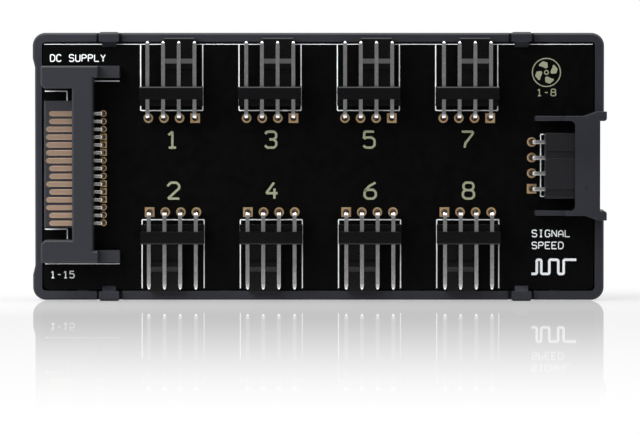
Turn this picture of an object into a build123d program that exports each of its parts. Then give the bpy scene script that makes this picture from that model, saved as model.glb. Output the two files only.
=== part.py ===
from build123d import *
import math
import os

# Fan controller hub: a moulded tray that holds a circuit board with eight fan headers, a side-entry
# power plug and a control input. Sizes are in millimetres.
#
# Every piece is drawn in the board's own frame, with x to the right, y up the board and z out of its
# printed face, which lies at z = 0. A connector is drawn in a frame of its own: its solder holes lie
# along x, it mates towards +y, and z = 0 is the board's face. At the end each piece is stood up, because
# the hub stands on its long edge: the printed face looks along -Y and the origin is under the middle.

# Housing tray
TRAY_LENGTH = 93.0
TRAY_HEIGHT = 43.5
WALL = 1.5
FLOOR = 1.5
CORNER_RADIUS = 2.1
RIM_BAND = 1.4
DRAFT_ANGLE = 1.0
RIM_CHAMFER = 0.3
BACK_BEVEL = 0.7
UNDER_BOARD = 3.0

# Circuit board and how it sits in the tray
BOARD_THICKNESS = 1.6
BOARD_GAP = 0.2
BOARD_CORNER = 1.0
PIP_SPACING = 77.0
PIP_WIDTH = 1.8
PIP_CLEARANCE = 0.03
RIB_WIDTH = 1.2
RIB_DEPTH = 2.2
RIB_INSET = 3.0

# Snap hooks
HOOK_SPACING = 67.05
HOOK_SHIFT = -0.5
HOOK_WIDTH = 3.25
HOOK_SLOT = 0.4
HOOK_SLOT_DEPTH = 1.3
HOOK_PROUD = 0.12
HOOK_RISE = 1.6
HOOK_ROOT = 0.6
NOSE_WIDTH = 2.25
NOSE_OVERLAP = 0.65
NOSE_CLEARANCE = 0.05
NOSE_LIP = 0.5
HOOK_BEVEL = 0.4
HOOK_SIDE_BEVEL = 0.25

# Pins shared by the fan headers and the control input
PIN = 0.64
PIN_PITCH = 2.54
PIN_COUNT = 4
PIN_TIP = 0.8
PIN_TIP_INSET = 0.16
PIN_BEND = 0.9
PIN_BELOW_BOARD = 1.2
PIN_HOLE = 1.0
BEND_FACETS = 4
HOLE_SIDES = 8

# Fan headers
HEADERS_PER_ROW = 4
HEADER_PITCH = 16.0
UPPER_ROW_SHIFT = 0.13
LOWER_ROW_SHIFT = 0.33
ROWS_RISE = 0.22
HEADER_FACE = 5.1
HEADER_BLOCK = 2.05
HEADER_STEP = 1.07
STEP_BELOW_PIN = 0.58
BLOCK_ABOVE_PIN = 1.98
BLOCK_BEVEL = 0.2
PIN_REACH = 7.35
PIN_PAST_BOARD = 0.05
TAB_WIDTH = 5.0
TAB_REACH = 7.95
TAB_LIFT = 0.4
TAB_THICKNESS = 1.4
TAB_TO_PIN = 1.38
LATCH_RISE = 0.6
LATCH_HEEL = 2.85
LATCH_POCKET = 0.95
LATCH_POCKET_DEPTH = 0.6
LATCH_FLAT = 0.9
LATCH_RAMP = 0.8

# Power plug
CONTACT_COUNT = 15
CONTACT_PITCH = 1.27
CONTACT_SHIFT = -0.69
CONTACT_WIDTH = 0.84
CONTACT_THICKNESS = 0.2
CONTACT_SETBACK = 0.3
SHORT_SETBACK = 0.5
LONG_CONTACTS = (3, 4, 5, 6, 7, 10, 12, 13)
TAIL_WIDTH = 0.5
TAIL_BEND = 0.45
TAIL_BELOW_BOARD = 1.1
TAIL_HOLE = 0.75
PLUG_LENGTH = 31.86
PLUG_HEIGHT = 5.6
PLUG_REACH = 9.85
PLUG_PAST_BOARD = 0.05
PLUG_RISE = 0.41
ARM_WIDTH = 3.68
ARM_MOUTH_BEVEL = 0.6
BAR_BACK = 1.4
BAR_DEPTH = 3.4
BLADE_WIDTH = 20.57
BLADE_REACH = 4.65
BLADE_THICKNESS = 1.23
BLADE_LIFT = 1.97
BLADE_BEVEL = 0.25
KEY_WIDTH = 1.2
KEY_DROP = 1.0
LEG_WIDTH = 1.95
LEG_BACK = 2.8
LEG_HEIGHT = 3.2
LEG_STEP = 0.8
PEG = 1.5
PEG_FIT = 0.05
PEG_TO_LEG_END = 1.3
PEG_BELOW_BOARD = 0.8

# Control input
CONTROL_WIDTH = 10.6
CONTROL_BASE_BACK = 1.98
CONTROL_BASE = 2.2
CONTROL_PIN_REACH = 6.4
CONTROL_PIN_PAST_BOARD = 0.5
CONTROL_PIN_LIFT = 2.38
HOOD_THICKNESS = 1.3
HOOD_SETBACK = 0.4
GROOVE_WIDTH = 1.2
GROOVE_DEPTH = 0.5
CONTROL_BEVEL = 0.3

# Port frame over the control input
PORT_RISE = 0.18
PORT_SIDE_GAP = 1.95
PORT_HEADROOM = 0.4
PORT_PLATE = 1.0
PORT_PLATE_DEPTH = 4.03
PORT_NOTCH = 1.07
PORT_INNER_ROUND = 0.8
PORT_ARM = 0.8
PORT_ARM_LENGTH = 11.4
PORT_ARM_LIFT = 0.15
PORT_ARM_STEP = 1.7
PORT_STEP_TO_FACE = 7.3
PORT_STEP_RUN = 0.7
EAR_WIDTH = 1.54
EAR_FLARE_START = 3.5
EAR_ROUND = 0.5
EJECTOR_MARK = 0.9
EJECTOR_DEPTH = 0.08
EJECTOR_SIDES = 12

# Shallow recess in the left wall, in front of the power plug
PLUG_RECESS = 0.36
PLUG_RECESS_MARGIN = 0.2
PLUG_RECESS_SLOPE = 1.5

# Parts on the hidden side of the board
CHIP_LENGTH = 4.9
CHIP_WIDTH = 3.9
CHIP_HEIGHT = 1.45
CHIP_LEADS_PER_SIDE = 4
CHIP_LEAD_PITCH = 1.27
CHIP_LEAD_WIDTH = 0.41
CHIP_LEAD_THICKNESS = 0.2
CHIP_LEAD_REACH = 1.05
CHIP_STANDOFF = 0.1
FUSE_SIZE = (4.5, 3.2, 1.1)
CAPACITOR_SIZE = (3.2, 2.5, 1.9)
CAPACITOR_PITCH = 3.5
CAPACITOR_COUNT = 3
RESISTOR_SIZE = (1.6, 0.8, 0.45)
RESISTOR_PITCH = 1.4
RESISTOR_COUNT = 6
FUSE_X = -14.5
CAPACITOR_X = -6.0
CHIP_X = 3.5
RESISTOR_X = 12.5
TERMINAL_SHARE = 0.2
TERMINAL_PROUD = 0.03

# Magnets in the back wall
MAGNET_RADIUS = 5.0
MAGNET_THICKNESS = 2.0
MAGNET_FIT = 0.05
MAGNET_SPACING = 52.0
MAGNET_POCKET = 0.7
MAGNET_RING_WALL = 0.9
MAGNET_RING_HEIGHT = 1.0

# Where the walls, levels and connectors come out
HALF_LENGTH = TRAY_LENGTH / 2
HALF_HEIGHT = TRAY_HEIGHT / 2
INNER_X = HALF_LENGTH - WALL
INNER_Y = HALF_HEIGHT - WALL
BOARD_X = INNER_X - BOARD_GAP
BOARD_Y = INNER_Y - BOARD_GAP
BOARD_BACK = -BOARD_THICKNESS
FLOOR_FACE = BOARD_BACK - UNDER_BOARD
BACK_FACE = FLOOR_FACE - FLOOR
RECESS_HALF = PLUG_LENGTH / 2 + PLUG_RECESS_MARGIN
RECESS_MOUTH = RECESS_HALF + PLUG_RECESS_SLOPE
TRAY_CORNER = min(CORNER_RADIUS, HALF_HEIGHT - RECESS_MOUTH - RIM_CHAMFER)

TAB_TOP = TAB_LIFT + TAB_THICKNESS
FAN_PIN_HEIGHT = TAB_TOP + TAB_TO_PIN + PIN / 2
FAN_PIN_TIP = HEADER_FACE + PIN_REACH
FAN_ROW_Y = BOARD_Y + PIN_PAST_BOARD - FAN_PIN_TIP

PLUG_ROW_X = BOARD_X + PLUG_PAST_BOARD - PLUG_REACH
BLADE_TOP = BLADE_LIFT + BLADE_THICKNESS
BAR_FRONT = BAR_BACK + BAR_DEPTH
BLADE_TIP = BAR_FRONT + BLADE_REACH
PEG_X = PLUG_LENGTH / 2 - LEG_WIDTH / 2
PEG_Y = PEG_TO_LEG_END - LEG_BACK

CONTROL_PIN_HEIGHT = CONTROL_PIN_LIFT + PIN / 2
CONTROL_FACE = CONTROL_BASE_BACK + CONTROL_BASE
CONTROL_PIN_TIP = CONTROL_FACE + CONTROL_PIN_REACH
CONTROL_ROW_X = BOARD_X + CONTROL_PIN_PAST_BOARD - CONTROL_PIN_TIP
HOOD_UNDERSIDE = CONTROL_PIN_LIFT + PIN + TAB_TO_PIN
CONTROL_TOP = HOOD_UNDERSIDE + HOOD_THICKNESS

PORT_HALF = CONTROL_WIDTH / 2 + PORT_SIDE_GAP
PLATE_UNDERSIDE = CONTROL_TOP + PORT_HEADROOM
FRAME_TOP = PLATE_UNDERSIDE + PORT_PLATE
PLATE_EDGE = HALF_LENGTH - PORT_NOTCH

PIN_STATIONS = [(i - (PIN_COUNT - 1) / 2) * PIN_PITCH for i in range(PIN_COUNT)]
SECOND_PIN = PIN_STATIONS[-2]
CONTACT_STATIONS = [
    CONTACT_SHIFT + ((CONTACT_COUNT - 1) / 2 - i) * CONTACT_PITCH for i in range(CONTACT_COUNT)
]
HEADER_STATIONS = [
    (i - (HEADERS_PER_ROW - 1) / 2) * HEADER_PITCH for i in range(HEADERS_PER_ROW)
]
MAGNET_STATIONS = (-MAGNET_SPACING / 2, MAGNET_SPACING / 2)


def polygon(points):
    return make_face(Polyline(points, close=True))


def prism_along_x(points, start, end):
    """Extrudes a profile given as (y, z) points from x = start to x = end."""
    profile = Plane.YZ * polygon(points)
    return Pos(start, 0, 0) * extrude(profile, end - start)


def slab(low, high):
    """A rectangular solid between two corners, used for cuts."""
    size = [b - a for a, b in zip(low, high)]
    middle = [(a + b) / 2 for a, b in zip(low, high)]
    return Pos(*middle) * Box(*size)


def stand_up(piece):
    """Turns a piece from the board's frame to the hub as it stands."""
    depth_middle = (FRAME_TOP + BACK_FACE) / 2
    return Pos(0, depth_middle, HALF_HEIGHT + HOOK_PROUD) * Rot(90, 0, 0) * piece


def both_edges(piece):
    """A piece at the upper long wall and the same piece mirrored to the lower one."""
    return piece + mirror(piece, about=Plane.XZ)


# Housing tray


def tray_outline():
    """The tray seen from the front, with the left side set back a little beside the power plug."""
    recess = polygon(
        [
            (-HALF_LENGTH, -RECESS_MOUTH),
            (-HALF_LENGTH + PLUG_RECESS, -RECESS_HALF),
            (-HALF_LENGTH + PLUG_RECESS, RECESS_HALF),
            (-HALF_LENGTH, RECESS_MOUTH),
        ]
    )
    return RectangleRounded(TRAY_LENGTH, TRAY_HEIGHT, TRAY_CORNER) - recess


def tray_shell():
    outline = tray_outline()
    band = extrude(outline, -RIM_BAND)
    drafted = Pos(0, 0, -RIM_BAND) * extrude(outline, BACK_FACE + RIM_BAND, taper=DRAFT_ANGLE)
    shell = band + drafted
    shell = chamfer(shell.faces().sort_by(Axis.Z)[0].edges(), BACK_BEVEL)
    shell = chamfer(shell.faces().sort_by(Axis.Z)[-1].edges(), RIM_CHAMFER)
    cavity = RectangleRounded(2 * INNER_X, 2 * INNER_Y, TRAY_CORNER - WALL)
    return shell - extrude(cavity, FLOOR_FACE)


def port_arm():
    """One arm of the port frame, which ends in an ear flush with the right wall."""
    inner_end = HALF_LENGTH - PORT_ARM_LENGTH
    outer = PORT_HALF + PORT_ARM
    ear = PORT_HALF + EAR_WIDTH
    flare_start = HALF_LENGTH - EAR_FLARE_START
    plan = polygon(
        [
            (inner_end, PORT_HALF),
            (HALF_LENGTH, PORT_HALF),
            (HALF_LENGTH, ear),
            (INNER_X, ear),
            (flare_start, outer),
            (inner_end, outer),
        ]
    )
    arm = extrude(plan, FRAME_TOP - PORT_ARM_LIFT)
    corner = arm.edges().filter_by(Axis.Z).sort_by(Axis.X)[-2:].sort_by(Axis.Y)[0]
    arm = Pos(0, 0, PORT_ARM_LIFT) * fillet(corner, EAR_ROUND)
    low = FRAME_TOP - PORT_ARM_STEP
    ramp_start = HALF_LENGTH - PORT_STEP_TO_FACE
    ramp_end = ramp_start + PORT_STEP_RUN
    above = FRAME_TOP + PORT_ARM_STEP
    step = polygon(
        [
            (inner_end - WALL, low),
            (ramp_start, low),
            (ramp_end, FRAME_TOP),
            (ramp_end, above),
            (inner_end - WALL, above),
        ]
    )
    arm -= Rot(90, 0, 0) * extrude(step, -HALF_HEIGHT)
    foot = slab((INNER_X, PORT_HALF, -RIM_BAND), (HALF_LENGTH, PORT_HALF + EAR_WIDTH, PORT_ARM_LIFT))
    foot_corner = foot.edges().filter_by(Axis.Z).sort_by(Axis.X)[-2:].sort_by(Axis.Y)[0]
    return arm + fillet(foot_corner, EAR_ROUND)


def port_sill():
    """A low wall under the board's right edge, where the outer wall is cut away for the port."""
    return slab((PLATE_EDGE - WALL, -PORT_HALF, FLOOR_FACE), (PLATE_EDGE, PORT_HALF, BOARD_BACK))


def port_frame():
    arms = both_edges(port_arm())
    plate_start = PLATE_EDGE - PORT_PLATE_DEPTH
    reach = PORT_HALF + PORT_ARM / 2
    plate = slab((plate_start, -reach, PLATE_UNDERSIDE), (PLATE_EDGE, reach, FRAME_TOP))
    frame = arms + plate
    inner_corners = [
        edge
        for edge in frame.edges().filter_by(Axis.Z)
        if abs(edge.center().X - plate_start) < PIP_CLEARANCE and edge.center().Z > PLATE_UNDERSIDE
    ]
    frame = fillet(inner_corners, PORT_INNER_ROUND)
    mark = extrude(RegularPolygon(EJECTOR_MARK / 2, EJECTOR_SIDES), -EJECTOR_DEPTH)
    middle = plate_start + PORT_PLATE_DEPTH / 2
    return frame - Pos(middle, -PORT_HALF / 2, FRAME_TOP) * mark


def snap_hook():
    """A hook in the upper long wall, with its nose over the board's edge."""
    outer = HALF_HEIGHT + HOOK_PROUD
    nose_tip = BOARD_Y - NOSE_OVERLAP
    arm = [
        (INNER_Y, FLOOR_FACE - HOOK_ROOT),
        (outer, FLOOR_FACE - HOOK_ROOT),
        (outer, HOOK_RISE - HOOK_BEVEL),
        (outer - HOOK_BEVEL, HOOK_RISE),
        (INNER_Y, HOOK_RISE),
    ]
    nose = [
        (INNER_Y, NOSE_CLEARANCE),
        (INNER_Y, HOOK_RISE),
        (nose_tip, NOSE_CLEARANCE + NOSE_LIP),
        (nose_tip, NOSE_CLEARANCE),
    ]
    hook = prism_along_x(arm, -HOOK_WIDTH / 2, HOOK_WIDTH / 2)
    sides = hook.edges().filter_by(Axis.Z).sort_by(Axis.Y)[-2:]
    hook = chamfer(sides, HOOK_SIDE_BEVEL)
    return hook + prism_along_x(nose, -NOSE_WIDTH / 2, NOSE_WIDTH / 2)


def hook_slot():
    half = HOOK_WIDTH / 2 + HOOK_SLOT
    return slab((-half, INNER_Y, -HOOK_SLOT_DEPTH), (half, HALF_HEIGHT + WALL, HOOK_RISE))


def locating_pip():
    reach = INNER_Y - BOARD_GAP + PIP_CLEARANCE
    foot = PIP_WIDTH / 2
    top = foot - (INNER_Y - reach)
    plan = polygon([(-foot, INNER_Y), (-top, reach), (top, reach), (foot, INNER_Y)])
    return Pos(0, 0, BOARD_BACK) * extrude(plan, BOARD_THICKNESS - RIM_CHAMFER)


def support_rib():
    half = RIB_WIDTH / 2
    return slab((-half, INNER_Y - RIB_DEPTH, FLOOR_FACE), (half, INNER_Y, BOARD_BACK))


def magnet_ring():
    bore = MAGNET_RADIUS + MAGNET_FIT
    ring = Circle(bore + MAGNET_RING_WALL) - Circle(bore)
    return Pos(0, 0, FLOOR_FACE) * extrude(ring, MAGNET_RING_HEIGHT)


def magnet_pocket():
    pocket = extrude(Circle(MAGNET_RADIUS + MAGNET_FIT), -MAGNET_POCKET)
    return Pos(0, 0, FLOOR_FACE) * pocket


def housing_tray():
    tray = tray_shell()
    at_port = Pos(0, PORT_RISE, 0)
    tray -= at_port * slab((INNER_X, -PORT_HALF, FLOOR_FACE), (HALF_LENGTH + WALL, PORT_HALF, FRAME_TOP))
    tray -= at_port * slab((PLATE_EDGE, -PORT_HALF, BACK_FACE), (HALF_LENGTH + WALL, PORT_HALF, FRAME_TOP))
    tray += at_port * (port_sill() + port_frame())
    for side in (-1, 1):
        hook_x = HOOK_SHIFT + side * HOOK_SPACING / 2
        tray -= Pos(hook_x, 0, 0) * both_edges(hook_slot())
        tray += Pos(hook_x, 0, 0) * both_edges(snap_hook())
        tray += Pos(side * PIP_SPACING / 2, 0, 0) * both_edges(locating_pip())
    rib_stations = [(i - 1) * HEADER_PITCH for i in range(HEADERS_PER_ROW - 1)]
    rib_stations += [-BOARD_X + RIB_INSET, BOARD_X - RIB_INSET]
    for rib_x in rib_stations:
        tray += Pos(rib_x, 0, 0) * both_edges(support_rib())
    for magnet_x in MAGNET_STATIONS:
        tray += Pos(magnet_x, 0, 0) * magnet_ring()
        tray -= Pos(magnet_x, 0, 0) * magnet_pocket()
    return tray


# Connectors


def arc_points(centre, radius, start, end):
    """Points on an arc in a few equal steps, from one angle to another in degrees."""
    turns = [math.radians(start + (end - start) * i / BEND_FACETS) for i in range(BEND_FACETS + 1)]
    return [(centre[0] + radius * math.cos(a), centre[1] + radius * math.sin(a)) for a in turns]


def bent_wire(width, thickness, bend, foot, height, end):
    """A wire that rises along z from its foot, turns and runs out along +y to its end."""
    half = thickness / 2
    centre = (bend, height - bend)
    profile = [
        (-half, foot),
        *arc_points(centre, bend + half, 180, 90),
        (end, height + half),
        (end, height - half),
        *arc_points(centre, bend - half, 90, 180),
        (half, foot),
    ]
    return prism_along_x(profile, -width / 2, width / 2)


def bent_pin(height, tip):
    """A square pin: up through the board, round a bend and out to a tapered tip."""
    pin = bent_wire(PIN, PIN, PIN_BEND, BOARD_BACK - PIN_BELOW_BOARD, height, tip)
    end = pin.faces().sort_by(Axis.Y)[-1]
    return chamfer(end.edges(), PIN_TIP_INSET, PIN_TIP, reference=end)


def pin_set(height, tip):
    pin = bent_pin(height, tip)
    return [Pos(x, 0, 0) * pin for x in PIN_STATIONS]


def pin_bores(height, reach):
    """Square passages for a row of pins through a connector's plastic."""
    half = PIN / 2
    low, high = height - half, height + half
    return Compound(children=[slab((x - half, 0, low), (x + half, reach, high)) for x in PIN_STATIONS])


def fan_header():
    width = PIN_COUNT * PIN_PITCH
    block_back = HEADER_FACE - HEADER_BLOCK
    step_back = block_back - HEADER_STEP
    step_top = FAN_PIN_HEIGHT - PIN / 2 - STEP_BELOW_PIN
    block_top = FAN_PIN_HEIGHT + PIN / 2 + BLOCK_ABOVE_PIN
    block = [
        (step_back, 0),
        (HEADER_FACE, 0),
        (HEADER_FACE, block_top - BLOCK_BEVEL),
        (HEADER_FACE - BLOCK_BEVEL, block_top),
        (block_back, block_top),
        (block_back, step_top),
        (step_back, step_top),
    ]
    heel = HEADER_FACE + LATCH_HEEL
    crest = heel + LATCH_FLAT
    tab_end = HEADER_FACE + TAB_REACH
    tab = [
        (block_back, TAB_LIFT),
        (tab_end, TAB_LIFT),
        (tab_end, TAB_TOP - BLOCK_BEVEL),
        (tab_end - BLOCK_BEVEL, TAB_TOP),
        (crest + LATCH_RAMP, TAB_TOP),
        (crest, TAB_TOP + LATCH_RISE),
        (heel, TAB_TOP + LATCH_RISE),
        (heel, TAB_TOP - LATCH_POCKET_DEPTH),
        (heel - LATCH_POCKET, TAB_TOP - LATCH_POCKET_DEPTH),
        (heel - LATCH_POCKET, TAB_TOP),
        (block_back, TAB_TOP),
    ]
    header = prism_along_x(block, -width / 2, width / 2)
    header += Pos(SECOND_PIN, 0, 0) * prism_along_x(tab, -TAB_WIDTH / 2, TAB_WIDTH / 2)
    return header - pin_bores(FAN_PIN_HEIGHT, HEADER_FACE)


def control_header():
    width = CONTROL_WIDTH
    hood_end = CONTROL_PIN_TIP - HOOD_SETBACK
    profile = [
        (CONTROL_BASE_BACK, 0),
        (CONTROL_FACE, 0),
        (CONTROL_FACE, HOOD_UNDERSIDE),
        (hood_end, HOOD_UNDERSIDE),
        (hood_end, CONTROL_TOP - CONTROL_BEVEL),
        (hood_end - CONTROL_BEVEL, CONTROL_TOP),
        (CONTROL_BASE_BACK, CONTROL_TOP),
    ]
    header = prism_along_x(profile, -width / 2, width / 2)
    for side in (-1, 1):
        groove_x = SECOND_PIN + side * (TAB_WIDTH + GROOVE_WIDTH) / 2
        half = GROOVE_WIDTH / 2
        header -= slab(
            (groove_x - half, CONTROL_BASE_BACK, CONTROL_TOP - GROOVE_DEPTH),
            (groove_x + half, hood_end, CONTROL_TOP),
        )
    return header - pin_bores(CONTROL_PIN_HEIGHT, CONTROL_FACE)


def plug_blade():
    """The contact blade, with the key that hangs from one end of it."""
    profile = [
        (BAR_FRONT, BLADE_LIFT),
        (BLADE_TIP - BLADE_BEVEL, BLADE_LIFT),
        (BLADE_TIP, BLADE_LIFT + BLADE_BEVEL),
        (BLADE_TIP, BLADE_TOP - BLADE_BEVEL),
        (BLADE_TIP - BLADE_BEVEL, BLADE_TOP),
        (BAR_FRONT, BLADE_TOP),
    ]
    key = [
        (BAR_FRONT, BLADE_LIFT - KEY_DROP),
        (BLADE_TIP - BLADE_BEVEL, BLADE_LIFT - KEY_DROP),
        (BLADE_TIP - BLADE_BEVEL, BLADE_LIFT),
        (BAR_FRONT, BLADE_LIFT),
    ]
    half = BLADE_WIDTH / 2
    return prism_along_x(profile, -half, half) + prism_along_x(key, half - KEY_WIDTH, half)


def contact(tip):
    """One contact: a flat from its rounded tip back through the housing, then a bent tail."""
    radius = CONTACT_WIDTH / 2
    plan = [
        (radius, BAR_BACK),
        *arc_points((0, tip - radius), radius, 0, 180),
        (-radius, BAR_BACK),
    ]
    flat = Pos(0, 0, BLADE_TOP) * extrude(polygon(plan), CONTACT_THICKNESS)
    middle = BLADE_TOP + CONTACT_THICKNESS / 2
    foot = BOARD_BACK - TAIL_BELOW_BOARD
    return flat + bent_wire(TAIL_WIDTH, CONTACT_THICKNESS, TAIL_BEND, foot, middle, BAR_BACK)


def plug_contacts():
    contacts = []
    for number, station in enumerate(CONTACT_STATIONS, start=1):
        tip = BLADE_TIP - CONTACT_SETBACK
        if number not in LONG_CONTACTS:
            tip -= SHORT_SETBACK
        contacts.append(Pos(station, 0, 0) * contact(tip))
    return contacts


def plug_housing():
    half = PLUG_LENGTH / 2
    arm_inner = half - ARM_WIDTH
    leg_inner = half - LEG_WIDTH
    right = [
        (0, BAR_BACK),
        (leg_inner, BAR_BACK),
        (leg_inner, -LEG_BACK),
        (half, -LEG_BACK),
        (half, PLUG_REACH),
        (arm_inner + ARM_MOUTH_BEVEL, PLUG_REACH),
        (arm_inner, PLUG_REACH - ARM_MOUTH_BEVEL),
        (arm_inner, BAR_FRONT),
        (0, BAR_FRONT),
    ]
    side = extrude(polygon(right), PLUG_HEIGHT)
    housing = side + mirror(side, about=Plane.YZ)
    housing -= slab((-half, -LEG_BACK, LEG_HEIGHT), (half, BAR_BACK - LEG_STEP, PLUG_HEIGHT))
    top_edges = housing.faces().sort_by(Axis.Z)[-1].outer_wire().edges()
    housing = chamfer(top_edges, BLADE_BEVEL)
    housing += plug_blade()
    for station in CONTACT_STATIONS:
        low = (station - CONTACT_WIDTH / 2, BAR_BACK, BLADE_TOP)
        high = (station + CONTACT_WIDTH / 2, BAR_FRONT, BLADE_TOP + CONTACT_THICKNESS)
        housing -= slab(low, high)
    peg = Pos(0, 0, BOARD_BACK - PEG_BELOW_BOARD) * extrude(
        Circle(PEG / 2), BOARD_THICKNESS + PEG_BELOW_BOARD
    )
    for peg_x in (-PEG_X, PEG_X):
        housing += Pos(peg_x, PEG_Y, 0) * peg
    return housing


# Where each connector sits on the board: its header faces out over the nearest edge


def upper_place(index):
    return Pos(UPPER_ROW_SHIFT + HEADER_STATIONS[index], ROWS_RISE + FAN_ROW_Y, 0)


def lower_place(index):
    return Pos(LOWER_ROW_SHIFT + HEADER_STATIONS[index], ROWS_RISE - FAN_ROW_Y, 0) * Rot(0, 0, 180)


PLUG_PLACE = Pos(-PLUG_ROW_X, PLUG_RISE, 0) * Rot(0, 0, 90)
CONTROL_PLACE = Pos(CONTROL_ROW_X, PORT_RISE, 0) * Rot(0, 0, -90)


# Circuit board


def drilled(diameter):
    return RegularPolygon(diameter / 2, HOLE_SIDES)


def circuit_board():
    face = RectangleRounded(2 * BOARD_X, 2 * BOARD_Y, BOARD_CORNER)
    pin_holes = [Pos(x, 0, 0) * drilled(PIN_HOLE) for x in PIN_STATIONS]
    places = [CONTROL_PLACE]
    for index in range(HEADERS_PER_ROW):
        places += [upper_place(index), lower_place(index)]
    for place in places:
        face -= [place * hole for hole in pin_holes]
    face -= [PLUG_PLACE * Pos(x, 0, 0) * drilled(TAIL_HOLE) for x in CONTACT_STATIONS]
    face -= [PLUG_PLACE * Pos(x, PEG_Y, 0) * Circle(PEG / 2 + PEG_FIT) for x in (-PEG_X, PEG_X)]
    return extrude(face, -BOARD_THICKNESS)


# Parts on the hidden side, soldered to the board's back


def hang_below(piece, x, y):
    """Turns a part that stands on z = 0 over, to sit on the back of the board."""
    return Pos(x, y, BOARD_BACK) * Rot(180, 0, 0) * piece


def buffer_chip():
    body = Pos(0, 0, CHIP_STANDOFF) * extrude(Rectangle(CHIP_LENGTH, CHIP_WIDTH), CHIP_HEIGHT)
    shoulder = CHIP_STANDOFF + CHIP_HEIGHT / 2
    half = CHIP_WIDTH / 2
    toe = half + CHIP_LEAD_REACH
    knee = half + CHIP_LEAD_REACH / 2
    lead = [
        (half, shoulder),
        (knee, shoulder),
        (knee, CHIP_LEAD_THICKNESS),
        (toe, CHIP_LEAD_THICKNESS),
        (toe, 0),
        (knee - CHIP_LEAD_THICKNESS, 0),
        (knee - CHIP_LEAD_THICKNESS, shoulder - CHIP_LEAD_THICKNESS),
        (half, shoulder - CHIP_LEAD_THICKNESS),
    ]
    chip = body
    for i in range(CHIP_LEADS_PER_SIDE):
        x = (i - (CHIP_LEADS_PER_SIDE - 1) / 2) * CHIP_LEAD_PITCH
        chip += both_edges(prism_along_x(lead, x - CHIP_LEAD_WIDTH / 2, x + CHIP_LEAD_WIDTH / 2))
    return chip


def chip_part(size):
    """A two-terminal surface part: a block with a raised metal cap at each end."""
    length, width, height = size
    cap = length * TERMINAL_SHARE
    body = Rectangle(length - cap, width)
    part = Pos(0, 0, TERMINAL_PROUD) * extrude(body, height - 2 * TERMINAL_PROUD)
    for side in (-1, 1):
        part += Pos(side * (length - cap) / 2, 0, 0) * extrude(Rectangle(cap, width), height)
    return part


def row_of_parts(size, count, pitch, middle):
    """Parts side by side along the board's middle line, each turned across it."""
    part = Rot(0, 0, 90) * chip_part(size)
    return [hang_below(part, middle + (i - (count - 1) / 2) * pitch, 0) for i in range(count)]


def magnets():
    base = FLOOR_FACE - MAGNET_POCKET
    disc = extrude(Circle(MAGNET_RADIUS), MAGNET_THICKNESS)
    return [Pos(x, 0, base) * disc for x in MAGNET_STATIONS]


def write(name, pieces):
    """Stands the pieces up and writes them as one named sub-part."""
    solids = [solid for piece in pieces for solid in stand_up(piece).solids()]
    shape = solids[0] if len(solids) == 1 else Compound(children=solids)
    export_step(shape, os.path.join("parts", name + ".step"))


def main():
    os.makedirs("parts", exist_ok=True)
    write("housing_tray", [housing_tray()])
    write("circuit_board", [circuit_board()])
    header = fan_header()
    pins = pin_set(FAN_PIN_HEIGHT, FAN_PIN_TIP)
    for index in range(HEADERS_PER_ROW):
        for number, place in ((2 * index + 1, upper_place(index)), (2 * index + 2, lower_place(index))):
            write(f"fan_header_{number}", [place * header])
            write(f"fan_header_{number}_pins", [place * pin for pin in pins])
    write("power_plug_housing", [PLUG_PLACE * plug_housing()])
    write("power_plug_contacts", [PLUG_PLACE * strip for strip in plug_contacts()])
    write("control_header", [CONTROL_PLACE * control_header()])
    control_pins = pin_set(CONTROL_PIN_HEIGHT, CONTROL_PIN_TIP)
    write("control_header_pins", [CONTROL_PLACE * pin for pin in control_pins])
    write("buffer_chip", [hang_below(buffer_chip(), CHIP_X, 0)])
    write("resettable_fuse", [hang_below(chip_part(FUSE_SIZE), FUSE_X, 0)])
    write("supply_capacitors", row_of_parts(CAPACITOR_SIZE, CAPACITOR_COUNT, CAPACITOR_PITCH, CAPACITOR_X))
    write("pull_up_resistors", row_of_parts(RESISTOR_SIZE, RESISTOR_COUNT, RESISTOR_PITCH, RESISTOR_X))
    write("back_magnets", magnets())


main()
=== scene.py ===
import math

import bmesh
import bpy
from mathutils import Matrix, Vector


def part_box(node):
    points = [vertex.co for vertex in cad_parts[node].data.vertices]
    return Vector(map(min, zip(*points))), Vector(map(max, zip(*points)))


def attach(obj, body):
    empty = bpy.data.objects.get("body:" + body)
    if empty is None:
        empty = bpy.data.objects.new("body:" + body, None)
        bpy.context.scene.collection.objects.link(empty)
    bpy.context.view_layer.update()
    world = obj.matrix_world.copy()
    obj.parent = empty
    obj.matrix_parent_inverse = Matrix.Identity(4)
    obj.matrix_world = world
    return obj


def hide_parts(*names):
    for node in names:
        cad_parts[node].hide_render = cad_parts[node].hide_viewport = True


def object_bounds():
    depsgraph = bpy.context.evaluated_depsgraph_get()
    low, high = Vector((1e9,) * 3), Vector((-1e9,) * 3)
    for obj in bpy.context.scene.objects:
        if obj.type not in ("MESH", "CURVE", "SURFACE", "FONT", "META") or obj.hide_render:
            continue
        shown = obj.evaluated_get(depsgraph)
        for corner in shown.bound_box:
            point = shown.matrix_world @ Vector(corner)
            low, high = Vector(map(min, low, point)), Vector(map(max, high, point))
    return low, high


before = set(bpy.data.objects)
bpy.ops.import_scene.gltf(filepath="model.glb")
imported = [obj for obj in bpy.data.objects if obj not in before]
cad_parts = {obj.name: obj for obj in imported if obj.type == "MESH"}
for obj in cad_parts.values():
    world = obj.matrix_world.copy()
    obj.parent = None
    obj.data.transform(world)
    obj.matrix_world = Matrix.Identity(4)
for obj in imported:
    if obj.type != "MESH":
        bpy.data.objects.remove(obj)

cad_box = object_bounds()
scene = bpy.context.scene
scene.view_settings.view_transform = "Standard"

# Flat work is drawn in the board's own frame, in metres: x to the right, y up the board and z out of its
# printed face. A connector has a frame of its own in that one: its pins stand along x, it mates towards
# +y, and it is turned about z. BOARD carries finished flat work to where the hub stands.

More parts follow.
